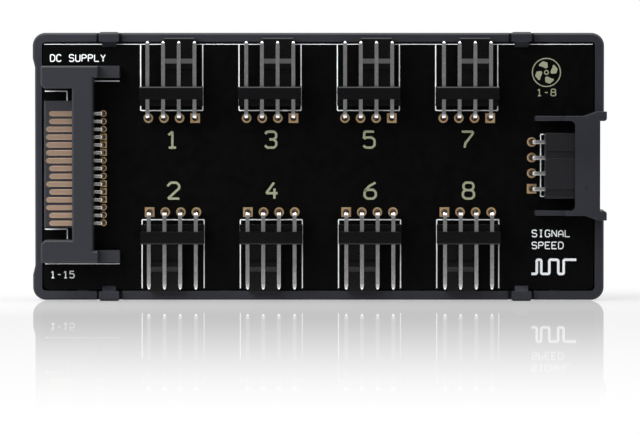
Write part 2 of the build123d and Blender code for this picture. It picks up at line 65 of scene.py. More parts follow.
MM = 0.001
board_low, board_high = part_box("circuit_board")
BOARD_HALF_X = board_high.x
BOARD_HALF_Y = (board_high.z - board_low.z) / 2
BOARD_MIDDLE = board_low.z + BOARD_HALF_Y
BOARD = Matrix.Translation((0, board_low.y, BOARD_MIDDLE)) @ Matrix.Rotation(math.pi / 2, 4, "X")

# Pins, pads and solder
PIN = 0.64 * MM
PIN_PITCH = 2.54 * MM
PIN_COUNT = 4
FAN_COUNT = 8
PIN_BEND = 0.9 * MM
PIN_TIP = 0.8 * MM
PIN_TIP_SHARE = 0.8
PIN_END = 0.28 * MM
PIN_END_SHARE = 0.34
PIN_EDGE = 0.07 * MM
PIN_EDGE_STEPS = 2
PIN_BEND_STEPS = 7
PAD = 1.56 * MM
PAD_SIDES = 40
PAD_HOLE = 0.98 * MM
HOLE_SIDES = 28
COPPER = 0.035 * MM
SOLDER_DEPTH = 0.25 * MM
SOLDER_STEPS = 3
SOLDER_BELOW_FACE = 0.02 * MM
CONTACT_PITCH = 1.27 * MM
CONTACT_COUNT = 15
CONTACT_THICKNESS = 0.2 * MM
TAIL_LENGTH = 4.2 * MM
PLATING_RUN = 0.3 * MM
CONTACT_PAD = 1.08 * MM
CONTACT_HOLE = 0.74 * MM
SQUARE_CONTACT_PADS = (4, 5, 6, 10, 11, 12)

# Print on the board, and painted highlights along edges
PRINT = 0.02 * MM
PRINT_STEP = 0.004 * MM
PRINT_LEVELS = 4
CORNER_STEPS = 4
OUTLINE_STROKE = 0.17 * MM
OUTLINE_CORNER = 0.1 * MM
OUTLINE_HALF = 5.05 * MM
OUTLINE_FROM_PINS = 1.24 * MM
CONTROL_OUTLINE_FROM_PINS = 1.45 * MM
CONTROL_OUTLINE_TICK = 0.5 * MM
# The white line along the board's upper edge is a painted highlight: the board's edge catching the light
# from above, drawn as a thin print line.
EDGE_HIGHLIGHT_STROKE = 0.09 * MM
EDGE_HIGHLIGHT_INSET = 0.17 * MM
NUMBER_STROKE = 0.38 * MM
NUMBER_CORNER = 0.45 * MM
NUMBER_HEIGHT = 2.6 * MM
NUMBER_SPREAD = 1.05
NUMBER_FROM_PINS = 3.5 * MM
NUMBER_SHIFT = 0.1 * MM
LEGEND_STROKE = 0.165 * MM
LEGEND_CORNER = 0.15 * MM
LEGEND_HEIGHT = 1.08 * MM
POWER_LEGEND_X = -43.6 * MM
SUPPLY_LEGEND_Y = 17.1 * MM
CONTACT_LEGEND_Y = -18.15 * MM
CONTROL_LEGEND_X = 34.8 * MM
SIGNAL_LEGEND_Y = -11.45 * MM
SPEED_LEGEND_Y = -13.4 * MM
CONTROL_LEGEND_SPREAD = 1.05
PULSE_STROKE = 0.42 * MM
PULSE_CORNER = 0.24 * MM
PULSE_PLACE = (34.7 * MM, -17.5 * MM)
PULSE_SIZE = (7.3 * MM, 2.3 * MM)
PULSE_EDGES = (0.12, 0.22, 0.4, 0.6, 0.72, 1.0)
FAN_SIGN = (37.1 * MM, 15.3 * MM)
FAN_SIGN_RADIUS = 2.3 * MM
FAN_SIGN_CORNER = 0.1 * MM
FAN_SIGN_SIDES = 24
FAN_HUB_SHARE = 0.14
FAN_HUB_SIDES = 12
FAN_BLADES = 4
FAN_BLADE_CORNER = 0.2 * MM
FAN_LEGEND_Y = 11.5 * MM
FAN_LEGEND_SPREAD = 1.1

# Broken edges on the moulded and pressed pieces
SHARP_ANGLE = 30
FLAT_ANGLE = 0.5
MERGE = 0.001 * MM
FRONT_FACING = -0.9
EDGE_ROOM = 3
EDGE_STEPS = 3
TRAY_EDGE = 0.09 * MM
HEADER_EDGE = 0.045 * MM
PLUG_EDGE = 0.08 * MM
CONTACT_EDGE = 0.16 * MM
FINE_SHARE = 0.4

# Grain of the finishes: how large its patches are and how deep it goes
FLOW_CLOUDS = 9 * MM
MOULD_DEPTH = 0.02 * MM
FIBRES = 0.07 * MM
FIBRE_SKIN = 0.3 * MM
FIBRE_DEPTH = 0.012 * MM
MASK_RIPPLE = 1.4 * MM
MASK_DUST = 0.12 * MM
MASK_DEPTH = 0.01 * MM
STREAKS = 0.12 * MM
STREAK_DEPTH = 0.006 * MM
PLATING_CLOUDS = 1.1 * MM
INK = 0.16 * MM
INK_DEPTH = 0.01 * MM
ALONG_X = (0.06, 1, 1)
ALONG_Z = (1, 1, 0.06)
FIBRES_ALONG_Z = (1, 1, 0.2)
EVEN = (1, 1, 1)

# The colour sockets of a mix node, by number, because its other sockets have the same names
MIX_FIRST = 6
MIX_SECOND = 7
MIX_RESULT = 2


def add(tree, kind, inputs=None, **settings):
    """A node with its settings. Each input is a value, another node's output or a list of outputs."""
    node = tree.nodes.new(kind)
    for key, value in settings.items():
        setattr(node, key, value)
    for key, value in (inputs or {}).items():
        for source in value if isinstance(value, list) else [value]:
            if isinstance(source, bpy.types.NodeSocket):
                tree.links.new(source, node.inputs[key])
            else:
                node.inputs[key].default_value = source
    return node


def ramp(tree, value, low, high, first, last, easing="LINEAR"):
    """A value that runs from first to last while the given one runs from low to high."""
    node = add(
        tree,
        "ShaderNodeMapRange",
        {"Value": value, "From Min": low, "From Max": high, "To Min": first, "To Max": last},
        interpolation_type=easing,
    )
    return node.outputs["Result"]


def math_node(tree, operation, first, second):
    return add(tree, "ShaderNodeMath", {0: first, 1: second}, operation=operation).outputs[0]


# Finishes


def srgb(red, green, blue):
    """A colour given as it shows on a screen, from 0 to 255, in the linear values that shaders take."""
    shares = [value / 255 for value in (red, green, blue)]
    return tuple(s / 12.92 if s <= 0.04045 else ((s + 0.055) / 1.055) ** 2.4 for s in shares)


def finish(name, metallic=0.0, specular=0.5):
    material = bpy.data.materials.new(name)
    material.use_nodes = True
    tree = material.node_tree
    shader = tree.nodes["Principled BSDF"]
    shader.inputs["Metallic"].default_value = metallic
    shader.inputs["Specular IOR Level"].default_value = specular
    place = tree.nodes.new("ShaderNodeTexCoord").outputs["Object"]
    return material, tree, shader, place


def grain(tree, place, size, detail=2.0, stretch=EVEN):
    """Soft noise whose patches are about as large as size, in metres."""
    scaled = add(tree, "ShaderNodeMapping", {"Vector": place, "Scale": stretch})
    noise = add(
        tree,
        "ShaderNodeTexNoise",
        {"Vector": scaled.outputs["Vector"], "Scale": 1 / size, "Detail": detail},
    )
    return noise.outputs["Fac"]


def tint(tree, shader, amount, first, second, low=0.3, high=0.7):
    """Base colour from first to second as the amount goes from low to high."""
    share = ramp(tree, amount, low, high, 0.0, 1.0)
    mix = add(tree, "ShaderNodeMix", {"Factor": share}, data_type="RGBA")
    mix.inputs[MIX_FIRST].default_value = (*first, 1)
    mix.inputs[MIX_SECOND].default_value = (*second, 1)
    tree.links.new(mix.outputs[MIX_RESULT], shader.inputs["Base Color"])


def gloss(tree, shader, amount, first, second, low=0.3, high=0.7):
    """Roughness from first to second as the amount goes from low to high."""
    tree.links.new(ramp(tree, amount, low, high, first, second), shader.inputs["Roughness"])


def relief(tree, shader, height, depth, strength):
    bump = add(tree, "ShaderNodeBump", {"Height": height, "Distance": depth, "Strength": strength})
    tree.links.new(bump.outputs["Normal"], shader.inputs["Normal"])


def moulded_plastic(name, dark, pale, smooth, rough, grain_size, specular):
    """Moulded plastic, or a fired body: a fine grain, faint clouds and a soft sheen."""
    material, tree, shader, place = finish(name, specular=specular)
    clouds = grain(tree, place, FLOW_CLOUDS, 3.0)
    skin = grain(tree, place, grain_size, 3.0)
    tint(tree, shader, clouds, dark, pale)
    gloss(tree, shader, skin, smooth, rough)
    relief(tree, shader, skin, MOULD_DEPTH, strength=0.22)
    return material


def fibre_filled_plastic(name, dark, pale):
    """Connector plastic, with short pale fibres lying just under its skin."""
    material, tree, shader, place = finish(name, specular=0.42)
    fibres = grain(tree, place, FIBRES, 2.0, FIBRES_ALONG_Z)
    skin = grain(tree, place, FIBRE_SKIN, 3.0)
    tint(tree, shader, fibres, dark, pale, low=0.5, high=0.85)
    gloss(tree, shader, skin, first=0.36, second=0.5)
    relief(tree, shader, skin, FIBRE_DEPTH, strength=0.2)
    return material


def solder_mask():
    """Gloss black mask over copper: deep black, with the faint ripple of a cured film."""
    material, tree, shader, place = finish("solder_mask_black", specular=0.06)
    ripple = grain(tree, place, MASK_RIPPLE, 2.0)
    dust = grain(tree, place, MASK_DUST, 1.0)
    tint(tree, shader, ripple, srgb(4, 4, 4), srgb(7, 7, 7))
    gloss(tree, shader, dust, first=0.3, second=0.42)
    relief(tree, shader, ripple, MASK_DEPTH, strength=0.12)
    return material


def plated_metal(name, first, second, smooth, rough, streak):
    """Plated metal with drawn streaks that vary its tone and its polish."""
    material, tree, shader, place = finish(name, metallic=1.0)
    streaks = grain(tree, place, STREAKS, 2.0, streak)
    clouds = grain(tree, place, PLATING_CLOUDS, 2.0)
    tint(tree, shader, clouds, first, second)
    gloss(tree, shader, streaks, smooth, rough)
    relief(tree, shader, streaks, STREAK_DEPTH, strength=0.15)
    return material


def contact_plating(name, tail_start):
    """Contacts with satin gold blades, and tails that are tinned and brighter from tail_start on."""
    material, tree, shader, place = finish(name, metallic=1.0)
    gold, tin = (0.96, 0.69, 0.51), (0.8, 0.78, 0.75)
    gold_rough, tin_rough = 0.43, 0.26
    blade_end = tail_start - PLATING_RUN
    streaks = grain(tree, place, STREAKS, 2.0, ALONG_X)
    along = add(tree, "ShaderNodeSeparateXYZ", {"Vector": place}).outputs["X"]
    tint(tree, shader, along, gold, tin, blade_end, tail_start)
    gloss(tree, shader, along, gold_rough, tin_rough, blade_end, tail_start)
    relief(tree, shader, streaks, STREAK_DEPTH, strength=0.15)
    return material


def board_print(name, thin, full):
    """Screen print: matt ink that is a little thin in places. The white one also paints highlights along
    edges.
    """
    material, tree, shader, place = finish(name, specular=0.25)
    ink = grain(tree, place, INK, 3.0)
    tint(tree, shader, ink, thin, full, low=0.25, high=0.55)
    gloss(tree, shader, ink, first=0.55, second=0.75)
    relief(tree, shader, ink, INK_DEPTH, strength=0.2)
    return material


TRAY_PLASTIC = moulded_plastic(
    "tray_plastic_black",
    dark=srgb(32, 33, 39),
    pale=srgb(38, 39, 46),
    smooth=0.38,
    rough=0.5,
    grain_size=0.2 * MM,
    specular=0.4,
)
HEADER_PLASTIC = moulded_plastic(
    "header_nylon_black",
    dark=srgb(4, 4, 5),
    pale=srgb(7, 7, 9),
    smooth=0.2,
    rough=0.3,
    grain_size=0.15 * MM,
    specular=0.3,
)
HOOD_PLASTIC = moulded_plastic(
    "control_nylon_black",
    dark=srgb(21, 21, 25),
    pale=srgb(26, 26, 30),
    smooth=0.26,
    rough=0.36,
    grain_size=0.15 * MM,
    specular=0.45,
)
PLUG_PLASTIC = fibre_filled_plastic("plug_plastic_black", srgb(35, 36, 41), srgb(46, 47, 53))
MASK = solder_mask()
TIN = {"first": (0.72, 0.71, 0.71), "second": (0.84, 0.83, 0.82), "smooth": 0.18, "rough": 0.28}
PIN_TIN = plated_metal("pin_tin", streak=ALONG_Z, **TIN)
CROSS_PIN_TIN = plated_metal("control_pin_tin", streak=ALONG_X, **TIN)
PAD_GOLD = plated_metal(
    "pad_gold",
    first=(0.95, 0.63, 0.34),
    second=(1.0, 0.75, 0.46),
    smooth=0.42,
    rough=0.56,
    streak=EVEN,
)
SOLDER = plated_metal(
    "solder",
    first=(0.56, 0.47, 0.38),
    second=(0.72, 0.62, 0.52),
    smooth=0.3,
    rough=0.45,
    streak=EVEN,
)
# White ink for the print, which also paints the highlights along the board's edge and beside the plug.
PRINT_AND_HIGHLIGHT_WHITE = board_print("print_white", srgb(205, 208, 212), srgb(236, 239, 242))
PRINT_KHAKI = board_print("print_khaki", srgb(122, 125, 103), srgb(140, 143, 120))
CHIP_EPOXY = moulded_plastic(
    "chip_epoxy",
    dark=srgb(24, 24, 26),
    pale=srgb(31, 31, 34),
    smooth=0.45,
    rough=0.6,
    grain_size=0.08 * MM,
    specular=0.4,
)
CHIP_CERAMIC = moulded_plastic(
    "chip_ceramic",
    dark=srgb(128, 104, 78),
    pale=srgb(146, 120, 92),
    smooth=0.45,
    rough=0.6,
    grain_size=0.1 * MM,
    specular=0.4,
)
MAGNET_NICKEL = plated_metal(
    "magnet_nickel",
    first=(0.6, 0.58, 0.55),
    second=(0.7, 0.68, 0.64),
    smooth=0.2,
    rough=0.34,
    streak=EVEN,
)


# Pieces


def seat(name, mesh, nodes=()):
    """Makes a finished mesh a piece of the hub, in place of the CAD nodes that it stands for."""
    piece = bpy.data.objects.new(name, mesh)
    scene.collection.objects.link(piece)
    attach(piece, "root")
    if nodes:
        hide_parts(*nodes)


def plain_mesh(host):
    """What an object's modifiers make, as a mesh of its own. The object is removed."""
    graph = bpy.context.evaluated_depsgraph_get()
    mesh = bpy.data.meshes.new_from_object(host.evaluated_get(graph))
    bpy.data.objects.remove(host)
    return mesh


def crease(mesh):
    """Shades a mesh smooth, but for the edges that turn by more than SHARP_ANGLE."""
    work = bmesh.new()
    work.from_mesh(mesh)
    for face in work.faces:
        face.smooth = True
    for line in work.edges:
        line.smooth = line.calc_face_angle(0) < math.radians(SHARP_ANGLE)
    work.to_mesh(mesh)
    work.free()


def dressed(node, edge, material, front_only=False, fine_from=math.inf):
    """A CAD piece with its flat facets joined and its outer edges rounded, as a tool leaves them.

    Edges too short to round cleanly stay as they are, and so do inner corners. Past x = fine_from
    the rounding is finer.
    """
    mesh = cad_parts[node].data.copy()
    work = bmesh.new()
    work.from_mesh(mesh)
    bmesh.ops.remove_doubles(work, verts=work.verts, dist=MERGE)
    flat = math.radians(FLAT_ANGLE)
    bmesh.ops.dissolve_limit(work, angle_limit=flat, verts=work.verts, edges=work.edges)
    share = work.edges.layers.float.new("bevel_weight_edge")
    for line in work.edges:
        sharp = line.is_convex and line.calc_face_angle(0) > math.radians(SHARP_ANGLE)
        at_front = any(face.normal.y < FRONT_FACING for face in line.link_faces)
        amount = FINE_SHARE if max(end.co.x for end in line.verts) > fine_from else 1
        roomy = line.calc_length() > EDGE_ROOM * edge * amount
        if sharp and roomy and (at_front or not front_only):
            line[share] = amount
    work.to_mesh(mesh)
    work.free()
    mesh.materials.clear()
    mesh.materials.append(material)
    host = bpy.data.objects.new(node + "_dressed", mesh)
    scene.collection.objects.link(host)
    bevel = host.modifiers.new("broken_edges", "BEVEL")
    bevel.width = edge
    bevel.segments = EDGE_STEPS
    bevel.limit_method = "WEIGHT"
    bevel.use_clamp_overlap = False
    rounded = plain_mesh(host)
    crease(rounded)
    host = bpy.data.objects.new(node + "_rounded", rounded)
    scene.collection.objects.link(host)
    host.modifiers.new("flat_faces", "WEIGHTED_NORMAL").keep_sharp = True
    seat(node + "_body", plain_mesh(host), [node])


def coated(node, material):
    """A CAD piece kept as it is, with its finish."""
    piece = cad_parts[node]
    piece.data.materials.clear()
    piece.data.materials.append(material)


# Trees for what repeats


def geometry_tree(name, inputs):
    tree = bpy.data.node_groups.new(name, "GeometryNodeTree")
    tree.interface.new_socket("Geometry", in_out="OUTPUT", socket_type="NodeSocketGeometry")
    tree.interface.new_socket("Geometry", in_out="INPUT", socket_type="NodeSocketGeometry")
    for label, kind in inputs.items():
        tree.interface.new_socket(label, in_out="INPUT", socket_type="NodeSocket" + kind)
    return tree, tree.nodes.new("NodeGroupInput").outputs


def end_tree(tree, given, geometry):
    real = add(tree, "GeometryNodeRealizeInstances", {"Geometry": geometry})
    coat = add(
        tree, "GeometryNodeSetMaterial", {"Geometry": real.outputs[0], "Material": given["Material"]}
    )
    add(tree, "NodeGroupOutput", {"Geometry": coat.outputs[0]})
    return tree


def grown(tree, host_mesh, **values):
    """The mesh that a tree makes from a host mesh, carried from the board's frame to the hub."""
    host = bpy.data.objects.new(tree.name, host_mesh)
    scene.collection.objects.link(host)
    modifier = host.modifiers.new(tree.name, "NODES")
    modifier.node_group = tree
    for item in tree.interface.items_tree:
        if item.in_out == "INPUT" and item.name != "Geometry":
            modifier[item.identifier] = values[item.name.replace(" ", "_").lower()]
    mesh = plain_mesh(host)
    mesh.transform(BOARD)
    crease(mesh)
    return mesh


def plate(tree, face, thickness):
    """A flat face thickened into a closed plate."""
    raised = add(
        tree,
        "GeometryNodeExtrudeMesh",
        {"Mesh": face, "Offset Scale": thickness, "Individual": False},
    )
    under = add(tree, "GeometryNodeFlipFaces", {"Mesh": face})
    sides = [raised.outputs["Mesh"], under.outputs[0]]
    shell = add(tree, "GeometryNodeJoinGeometry", {"Geometry": sides})
    closed = add(
        tree, "GeometryNodeMergeByDistance", {"Geometry": shell.outputs[0], "Distance": MERGE}
    )
    return closed.outputs[0]


def pad_tree():
    """A thin plated pad round each point's hole: round, or square where the point says so."""
    tree, given = geometry_tree(
        "plated_pads", {"Pad": "Float", "Hole": "Float", "Copper": "Float", "Material": "Material"}
    )
    hole = add(
        tree,
        "GeometryNodeCurvePrimitiveCircle",
        {"Resolution": HOLE_SIDES, "Radius": math_node(tree, "DIVIDE", given["Hole"], 2.0)},
    )
    disc = add(
        tree,
        "GeometryNodeCurvePrimitiveCircle",
        {"Resolution": PAD_SIDES, "Radius": math_node(tree, "DIVIDE", given["Pad"], 2.0)},
    )
    box = add(
        tree, "GeometryNodeCurvePrimitiveQuadrilateral", {"Width": given["Pad"], "Height": given["Pad"]}
    )
    square = add(tree, "GeometryNodeInputNamedAttribute", {"Name": "square"}, data_type="BOOLEAN")
    is_round = add(tree, "FunctionNodeBooleanMath", {0: square.outputs["Attribute"]}, operation="NOT")
    rows = []
    for outline, chosen in ((disc, is_round.outputs[0]), (box, square.outputs["Attribute"])):
        pair = [outline.outputs["Curve"], hole.outputs["Curve"]]
        rings = add(tree, "GeometryNodeJoinGeometry", {"Geometry": pair})
        face = add(tree, "GeometryNodeFillCurve", {"Curve": rings.outputs[0]}, mode="TRIANGLES")
        pad = plate(tree, face.outputs[0], given["Copper"])
        row = add(
            tree,
            "GeometryNodeInstanceOnPoints",
            {"Points": given["Geometry"], "Selection": chosen, "Instance": pad},
        )
        rows.append(row.outputs[0])
    both = add(tree, "GeometryNodeJoinGeometry", {"Geometry": rows})
    return end_tree(tree, given, both.outputs[0])


def solder_tree():
    """Solder in each point's hole: a slug that rises to a low cone against the pin."""
    tree, given = geometry_tree(
        "solder_slugs",
        {"Hole": "Float", "Pin": "Float", "Depth": "Float", "Below": "Float", "Material": "Material"},
    )
    slug = add(
        tree,
        "GeometryNodeMeshCone",
        {
            "Vertices": HOLE_SIDES,
            "Side Segments": SOLDER_STEPS,
            "Radius Bottom": math_node(tree, "DIVIDE", given["Hole"], 2.0),
            "Radius Top": math_node(tree, "DIVIDE", given["Pin"], 2.0),
            "Depth": given["Depth"],
        },
    )
    sunk = math_node(tree, "MULTIPLY", math_node(tree, "ADD", given["Depth"], given["Below"]), -1.0)
    down = add(tree, "ShaderNodeCombineXYZ", {"Z": sunk})
    placed = add(
        tree, "GeometryNodeTransform", {"Geometry": slug.outputs["Mesh"], "Translation": down.outputs[0]}
    )
    row = add(
        tree,
        "GeometryNodeInstanceOnPoints",
        {"Points": given["Geometry"], "Instance": placed.outputs[0]},
    )
    return end_tree(tree, given, row.outputs[0])


def pin_tree():
    """A row of bent square pins at each point, turned with its connector."""
    tree, given = geometry_tree(
        "bent_pin_rows",
        {
            "Pin": "Float",
            "Edge": "Float",
            "Pitch": "Float",
            "Count": "Int",
            "Foot": "Float",
            "Height": "Float",
            "Reach": "Float",
            "Bend": "Float",
            "Tip": "Float",
            "Tip Share": "Float",
            "End": "Float",
            "End Share": "Float",
            "Material": "Material",
        },
    )
    tip_start = math_node(tree, "SUBTRACT", given["Reach"], given["Tip"])
    end_start = math_node(tree, "SUBTRACT", given["Reach"], given["End"])
    stations = [
        {"Z": given["Foot"]},
        {"Z": given["Height"]},
        {"Y": tip_start, "Z": given["Height"]},
        {"Y": end_start, "Z": given["Height"]},
        {"Y": given["Reach"], "Z": given["Height"]},
    ]
    index = add(tree, "GeometryNodeInputIndex")
    pick = add(tree, "GeometryNodeIndexSwitch", {"Index": index.outputs[0]}, data_type="VECTOR")
    for _ in stations[2:]:
        pick.index_switch_items.new()
    for number, station in enumerate(stations):
        point = add(tree, "ShaderNodeCombineXYZ", station)
        tree.links.new(point.outputs[0], pick.inputs[number + 1])
    line = add(tree, "GeometryNodeMeshLine", {"Count": len(stations)})
    bent = add(
        tree, "GeometryNodeSetPosition", {"Geometry": line.outputs[0], "Position": pick.outputs[0]}
    )
    path = add(tree, "GeometryNodeMeshToCurve", {"Mesh": bent.outputs[0]})
    rounded = add(
        tree,
        "GeometryNodeFilletCurve",
        {
            "Curve": path.outputs[0],
            "Count": PIN_BEND_STEPS,
            "Radius": given["Bend"],
            "Limit Radius": True,
        },
        mode="POLY",
    )
    upright = add(tree, "GeometryNodeSetCurveNormal", {"Curve": rounded.outputs[0]}, mode="Z_UP")
    section = add(
        tree, "GeometryNodeCurvePrimitiveQuadrilateral", {"Width": given["Pin"], "Height": given["Pin"]}
    )
    soft = add(
        tree,
        "GeometryNodeFilletCurve",
        {"Curve": section.outputs[0], "Count": PIN_EDGE_STEPS, "Radius": given["Edge"]},
        mode="POLY",
    )
    position = add(tree, "GeometryNodeInputPosition").outputs[0]
    reached = add(tree, "ShaderNodeSeparateXYZ", {"Vector": position}).outputs["Y"]
    taper = ramp(tree, reached, tip_start, end_start, 1.0, given["Tip Share"])
    blunt = ramp(tree, reached, end_start, given["Reach"], 1.0, given["End Share"])
    share = math_node(tree, "MULTIPLY", taper, blunt)
    pin = add(
        tree,
        "GeometryNodeCurveToMesh",
        {
            "Curve": upright.outputs[0],
            "Profile Curve": soft.outputs[0],
            "Scale": share,
            "Fill Caps": True,
        },
    )
    gap = add(tree, "ShaderNodeCombineXYZ", {"X": given["Pitch"]})
    steps = math_node(tree, "SUBTRACT", given["Count"], 1.0)
    width = math_node(tree, "MULTIPLY", steps, given["Pitch"])
    start = add(tree, "ShaderNodeCombineXYZ", {"X": math_node(tree, "MULTIPLY", width, -0.5)})
    row_points = add(
        tree,
        "GeometryNodeMeshLine",
        {"Count": given["Count"], "Start Location": start.outputs[0], "Offset": gap.outputs[0]},
    )
    row = add(
        tree,
        "GeometryNodeInstanceOnPoints",
        {"Points": row_points.outputs[0], "Instance": pin.outputs[0]},
    )
    turn = add(tree, "GeometryNodeInputNamedAttribute", {"Name": "turn"}, data_type="FLOAT")
    rotation = add(
        tree,
        "FunctionNodeAxisAngleToRotation",
        {"Axis": (0, 0, 1), "Angle": turn.outputs["Attribute"]},
    )
    rows = add(
        tree,
        "GeometryNodeInstanceOnPoints",
        {"Points": given["Geometry"], "Instance": row.outputs[0], "Rotation": rotation.outputs[0]},
    )
    return end_tree(tree, given, rows.outputs[0])


def rounded_lines(tree, given):
    """The host's lines as curves with rounded corners."""
    path = add(tree, "GeometryNodeMeshToCurve", {"Mesh": given["Geometry"]})
    rounded = add(
        tree,
        "GeometryNodeFilletCurve",
        {
            "Curve": path.outputs[0],
            "Count": CORNER_STEPS,
            "Radius": given["Corner"],
            "Limit Radius": True,
        },
        mode="POLY",
    )
    return rounded.outputs[0]


def print_tree():
    """A thin flat band with rounded corners along every line of the host: print ink, and the painted
    highlights drawn like it.
    """
    tree, given = geometry_tree(
        "printed_lines", {"Stroke": "Float", "Corner": "Float", "Ink": "Float", "Material": "Material"}
    )
    rounded = rounded_lines(tree, given)
    flat = add(tree, "GeometryNodeSetCurveNormal", {"Curve": rounded}, mode="Z_UP")
    section = add(
        tree,
        "GeometryNodeCurvePrimitiveQuadrilateral",
        {"Width": given["Stroke"], "Height": given["Ink"]},
    )
    band = add(
        tree,
        "GeometryNodeCurveToMesh",
        {"Curve": flat.outputs[0], "Profile Curve": section.outputs[0], "Fill Caps": True},
    )
    lift = add(tree, "ShaderNodeCombineXYZ", {"Z": math_node(tree, "DIVIDE", given["Ink"], 2.0)})
    laid = add(tree, "GeometryNodeSetPosition", {"Geometry": band.outputs[0], "Offset": lift.outputs[0]})
    return end_tree(tree, given, laid.outputs[0])


def patch_tree():
    """Ink that fills every closed line of the host."""
    tree, given = geometry_tree(
        "printed_patches", {"Corner": "Float", "Ink": "Float", "Material": "Material"}
    )
    rounded = rounded_lines(tree, given)
    face = add(tree, "GeometryNodeFillCurve", {"Curve": rounded}, mode="NGONS")
    return end_tree(tree, given, plate(tree, face.outputs[0], given["Ink"]))


# Where the connectors stand, read from the CAD pins


def to_board(point):
    return BOARD.inverted() @ point


def connector(node, upward):
    """The place of a fan header's pin row on the board, and its turn."""
    low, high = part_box(node)
    row = low.z + PIN / 2 if upward else high.z - PIN / 2
    place = to_board(Vector(((low.x + high.x) / 2, board_low.y, row)))
    return place, 0.0 if upward else math.pi


# Odd headers stand along the upper edge and even ones along the lower
FAN_ROWS = {n: connector(f"fan_header_{n}_pins", n % 2 == 1) for n in range(1, FAN_COUNT + 1)}
control_low, control_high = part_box("control_header_pins")
CONTROL_ROW = (
    to_board(Vector((control_low.x + PIN / 2, board_low.y, (control_low.z + control_high.z) / 2))),
    -math.pi / 2,
)
contact_low, contact_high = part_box("power_plug_contacts")
tail_start = contact_high.x - TAIL_LENGTH
CONTACT_PLATING = contact_plating("contact_plating", tail_start)
CONTACT_ROW = to_board(
    Vector((contact_high.x - CONTACT_THICKNESS / 2, board_low.y, (contact_low.z + contact_high.z) / 2))
)


def turned(row, x, y):
    """A point of a connector's own frame, on the board."""
    place, turn = row
    return place + Matrix.Rotation(turn, 3, "Z") @ Vector((x, y, 0))


def points_mesh(name, points, attribute, kind, values):
    """Bare points that carry one value each."""
    mesh = bpy.data.meshes.new(name)
    mesh.from_pydata([tuple(p) for p in points], [], [])
    mesh.attributes.new(attribute, kind, "POINT").data.foreach_set("value", values)
    return mesh


def lines_mesh(name, lines):
    """Open or closed lines as a mesh of edges. A line is its points and whether it closes.

    Lines lie at PRINT_LEVELS heights in turn, so that strokes of one letter that cross share no face.
    """
    points, edges = [], []
    for index, (line, closed) in enumerate(lines):
        first = len(points)
        points += [(x, y, index % PRINT_LEVELS * PRINT_STEP) for x, y in line]
        edges += [(i, i + 1) for i in range(first, len(points) - 1)]
        if closed:
            edges.append((len(points) - 1, first))
    mesh = bpy.data.meshes.new(name)
    mesh.from_pydata(points, edges, [])
    return mesh


# Print: a plotter's alphabet on a grid 4 wide and 6 high. A stroke that ends where it starts is closed.

STROKES = {
    "1": ["0.6,4.7 2,6", "2,6 2,0", "0.7,0 3.3,0"],
    "2": ["0,4.6 0,5 1,6 3,6 4,5 4,3.9 0,0", "0,0 4,0"],
    "3": [
        "0,5.2 0.8,6 3.2,6 4,5.2 4,3.9 3.1,3.1 1.5,3.1",
        "2.6,3.1 3.1,3.1 4,2.2 4,0.8 3.2,0 0.8,0 0,0.8",
    ],
    "4": ["2.7,6 0,2", "0,2 4,2", "2.9,3.8 2.9,0"],
    "5": ["3.8,6 0.4,6", "0.4,6 0.2,3.4", "0.2,3.4 1,3.8 3,3.8 4,2.9 4,0.9 3.1,0 0.9,0 0,0.8"],
    "6": ["3.9,6 1.7,4.7 0.3,3.2 0,2.2 0,0.9 0.9,0 3.1,0 4,0.9 4,2.4 3.1,3.3 0.9,3.3 0.1,2.6"],
    "7": ["0,6 4,6", "4,6 4,5.2 1.3,1.6 1.1,0"],
    "8": [
        "1,3.2 3,3.2 3.8,4 3.8,5.2 3,6 1,6 0.2,5.2 0.2,4 1,3.2",
        "0.9,0 3.1,0 4,0.9 4,2.3 3.1,3.2 0.9,3.2 0,2.3 0,0.9 0.9,0",
    ],
    "-": ["0.8,3 3.2,3"],
    " ": [],
    "A": ["0,0 0,4 2,6 4,4 4,0", "0,2.2 4,2.2"],
    "C": ["4,5 3,6 1,6 0,5 0,1 1,0 3,0 4,1"],
    "D": ["0,0 2.6,0 4,1.4 4,4.6 2.6,6 0,6 0,0"],
    "E": ["4,6 0,6", "0,6 0,0", "0,0 4,0", "0,3.1 3,3.1"],
    "G": ["4,5 3,6 1,6 0,5 0,1 1,0 3,0 4,1 4,2.8 2.4,2.8"],
    "I": ["1,6 3,6", "2,6 2,0", "1,0 3,0"],
    "L": ["0,6 0,0", "0,0 4,0"],
    "N": ["0,0 0,6", "0,6 4,0", "4,0 4,6"],
    "P": ["0,0 0,6 3,6 4,5 4,4 3,3 0,3"],
    "S": ["4,5.1 3.1,6 0.9,6 0,5.1 0,4 0.9,3.1 3.1,3.1 4,2.2 4,0.9 3.1,0 0.9,0 0,0.9"],
    "U": ["0,6 0,1 1,0 3,0 4,1 4,6"],
    "Y": ["0,6 2,3", "2,3 4,6", "2,3 2,0"],
}
LETTER_WIDTH = 4
LETTER_HEIGHT = 6
LETTER_STEP = 5.7


def written(text, x, y, height, spread=1.0):
    """Lines for a word whose first letter starts at x and stands on y."""
    scale = height / LETTER_HEIGHT
    lines = []
    for place, letter in enumerate(text):
        for stroke in STROKES[letter]:
            grid = [tuple(map(float, pair.split(","))) for pair in stroke.split()]
            closed = grid[0] == grid[-1]
            points = [
                (x + (place * LETTER_STEP + gx) * scale * spread, y + gy * scale) for gx, gy in grid
            ]
            lines.append((points[:-1] if closed else points, closed))
    return lines


def centred(text, x, y, height, spread=1.0):
    width = ((len(text) - 1) * LETTER_STEP + LETTER_WIDTH) * spread * height / LETTER_HEIGHT
    return written(text, x - width / 2, y, height, spread)


def ring(x, y, radius, count):
    turns = [2 * math.pi * i / count for i in range(count)]
    return [(x + radius * math.cos(a), y + radius * math.sin(a)) for a in turns], True


